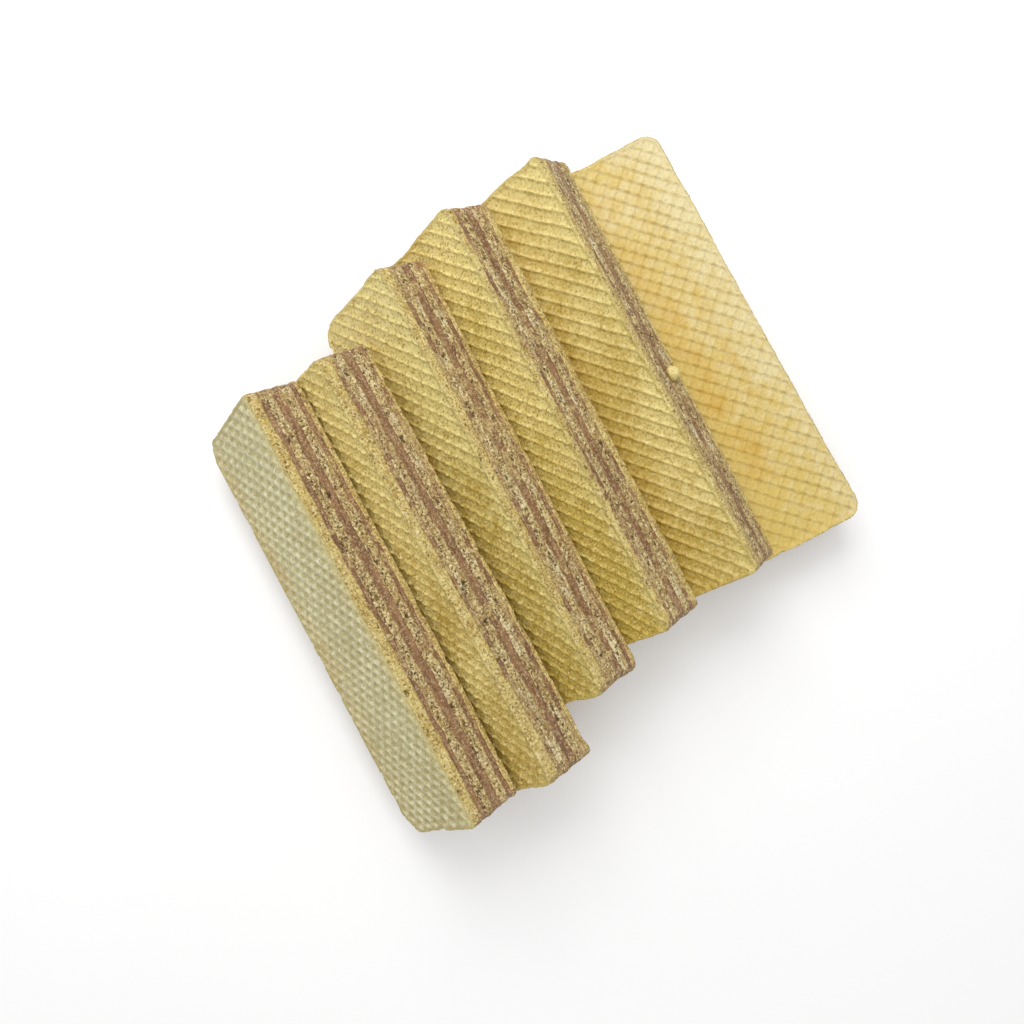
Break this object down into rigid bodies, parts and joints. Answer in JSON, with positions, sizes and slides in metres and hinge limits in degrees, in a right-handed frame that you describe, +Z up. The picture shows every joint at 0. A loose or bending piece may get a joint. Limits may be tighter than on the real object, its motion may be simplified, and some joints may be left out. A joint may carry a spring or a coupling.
{
  "type": "cream wafer biscuit row",
  "caption": "Row of rectangular cream-filled wafer biscuits leaning on each other like fallen dominoes, the last one lying flat; waffle-patterned faces, layered edges.",
  "frame": {"origin": "centre of the row's bounding box, on the surface the wafers stand on", "axes": "+X across the row towards the wafer that lies flat, +Y along the wafers, +Z up from the surface"},
  "size_m": [0.1008, 0.0944, 0.0248],
  "materials": {
    "baked_face_sheet": "matte",
    "porous_inner_sheet": "matte",
    "cocoa_cream": "matte"
  },
  "bodies": {
    "wafer_1": {"wafer_1_bottom_sheet": "baked_face_sheet", "wafer_1_lower_cream": "cocoa_cream", "wafer_1_lower_sheet": "porous_inner_sheet", "wafer_1_middle_cream": "cocoa_cream", "wafer_1_upper_sheet": "porous_inner_sheet", "wafer_1_upper_cream": "cocoa_cream", "wafer_1_top_sheet": "baked_face_sheet"},
    "wafer_2": {"wafer_2_bottom_sheet": "baked_face_sheet", "wafer_2_lower_cream": "cocoa_cream", "wafer_2_lower_sheet": "porous_inner_sheet", "wafer_2_middle_cream": "cocoa_cream", "wafer_2_upper_sheet": "porous_inner_sheet", "wafer_2_upper_cream": "cocoa_cream", "wafer_2_top_sheet": "baked_face_sheet"},
    "wafer_3": {"wafer_3_bottom_sheet": "baked_face_sheet", "wafer_3_lower_cream": "cocoa_cream", "wafer_3_lower_sheet": "porous_inner_sheet", "wafer_3_middle_cream": "cocoa_cream", "wafer_3_upper_sheet": "porous_inner_sheet", "wafer_3_upper_cream": "cocoa_cream", "wafer_3_top_sheet": "baked_face_sheet"},
    "wafer_4": {"wafer_4_bottom_sheet": "baked_face_sheet", "wafer_4_lower_cream": "cocoa_cream", "wafer_4_lower_sheet": "porous_inner_sheet", "wafer_4_middle_cream": "cocoa_cream", "wafer_4_upper_sheet": "porous_inner_sheet", "wafer_4_upper_cream": "cocoa_cream", "wafer_4_top_sheet": "baked_face_sheet"},
    "wafer_5": {"wafer_5_bottom_sheet": "baked_face_sheet", "wafer_5_lower_cream": "cocoa_cream", "wafer_5_lower_sheet": "porous_inner_sheet", "wafer_5_middle_cream": "cocoa_cream", "wafer_5_upper_sheet": "porous_inner_sheet", "wafer_5_upper_cream": "cocoa_cream", "wafer_5_top_sheet": "baked_face_sheet"},
    "wafer_6": {"wafer_6_bottom_sheet": "baked_face_sheet", "wafer_6_lower_cream": "cocoa_cream", "wafer_6_lower_sheet": "porous_inner_sheet", "wafer_6_middle_cream": "cocoa_cream", "wafer_6_upper_sheet": "porous_inner_sheet", "wafer_6_upper_cream": "cocoa_cream", "wafer_6_top_sheet": "baked_face_sheet"}
  },
  "joints": [
    {"name": "wafer_5_lift", "type": "slide", "parent": "wafer_6", "child": "wafer_5", "axis": [0, 0, 1], "range_m": [0, 0.03]},
    {"name": "wafer_4_lift", "type": "slide", "parent": "wafer_5", "child": "wafer_4", "axis": [0, 0, 1], "range_m": [0, 0.03]},
    {"name": "wafer_3_lift", "type": "slide", "parent": "wafer_4", "child": "wafer_3", "axis": [0, 0, 1], "range_m": [0, 0.03]},
    {"name": "wafer_2_lift", "type": "slide", "parent": "wafer_3", "child": "wafer_2", "axis": [0, 0, 1], "range_m": [0, 0.03]},
    {"name": "wafer_1_lift", "type": "slide", "parent": "wafer_2", "child": "wafer_1", "axis": [0, 0, 1], "range_m": [0, 0.03]}
  ]
}
